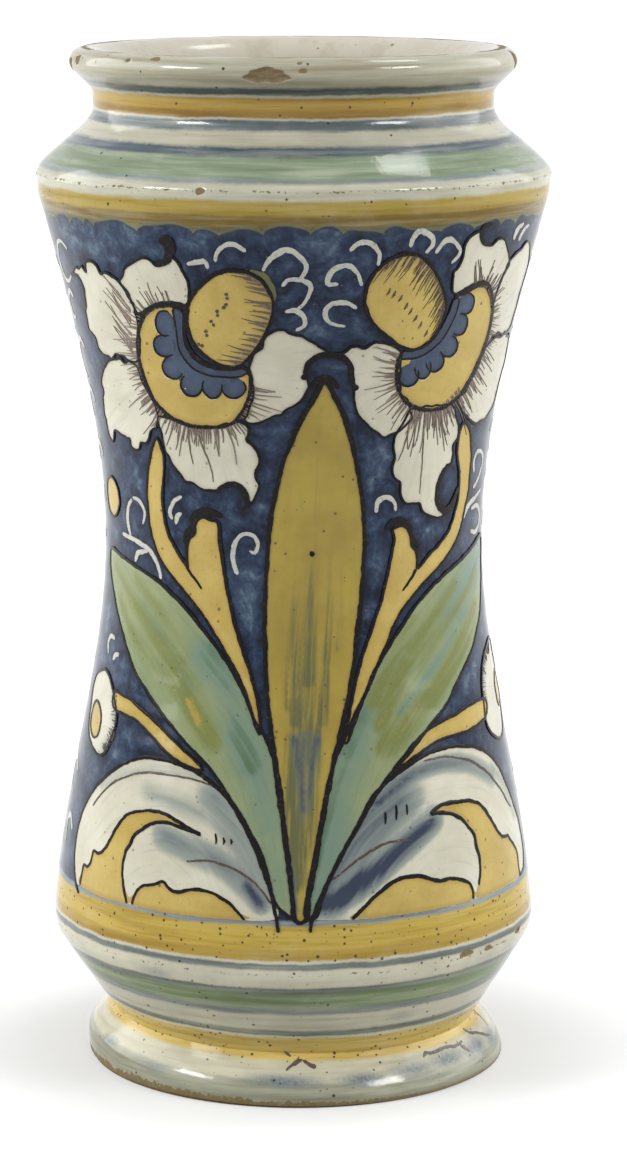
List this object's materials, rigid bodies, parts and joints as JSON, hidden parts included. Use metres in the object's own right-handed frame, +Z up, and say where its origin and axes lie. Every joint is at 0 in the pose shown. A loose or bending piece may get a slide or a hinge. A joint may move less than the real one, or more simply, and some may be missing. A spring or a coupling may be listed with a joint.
{
  "type": "albarello drug jar",
  "caption": "Waisted cylindrical storage jar of tin-glazed earthenware with an everted lip, sharp shoulder, keeled base and spreading foot, banded and painted with flowers.",
  "frame": {"origin": "centre of the standing ring of the foot, on the table", "axes": "+Z up along the jar's axis, -Y towards the viewer of the picture, +X to the viewer's right"},
  "size_m": [0.13, 0.13, 0.26],
  "materials": {
    "biscuit_clay": "matte",
    "lining_glaze": "gloss",
    "white_tin_glaze": "gloss",
    "blue_line_glaze": "gloss",
    "cobalt_glaze": "gloss",
    "ochre_glaze": "gloss",
    "yellow_glaze": "gloss",
    "green_glaze": "gloss",
    "teal_glaze": "gloss"
  },
  "bodies": {
    "root": {"foot_ring": "biscuit_clay", "floor_disc": "biscuit_clay", "lower_body": "biscuit_clay", "lower_wall": "biscuit_clay", "upper_wall": "biscuit_clay", "shoulder_collar": "biscuit_clay", "lip": "biscuit_clay", "lining_glaze": "lining_glaze", "lip_white_glaze": "white_tin_glaze", "neck_blue_line": "blue_line_glaze", "neck_white_line": "white_tin_glaze", "neck_yellow_band": "ochre_glaze", "collar_white_line": "white_tin_glaze", "collar_blue_line": "blue_line_glaze", "shoulder_white_band": "white_tin_glaze", "shoulder_blue_line": "blue_line_glaze", "shoulder_green_band": "green_glaze", "edge_blue_line": "blue_line_glaze", "edge_white_band": "white_tin_glaze", "upper_yellow_band": "ochre_glaze", "frieze_blue_ground": "cobalt_glaze", "frieze_closing_line": "blue_line_glaze", "lower_yellow_band": "yellow_glaze", "keel_blue_line": "blue_line_glaze", "keel_white_band": "white_tin_glaze", "keel_teal_line": "teal_glaze", "keel_green_band": "green_glaze", "under_blue_line": "blue_line_glaze", "cove_white_band": "white_tin_glaze", "cove_blue_line": "blue_line_glaze", "cove_yellow_band": "yellow_glaze", "foot_white_glaze": "white_tin_glaze"}
  },
  "joints": []
}
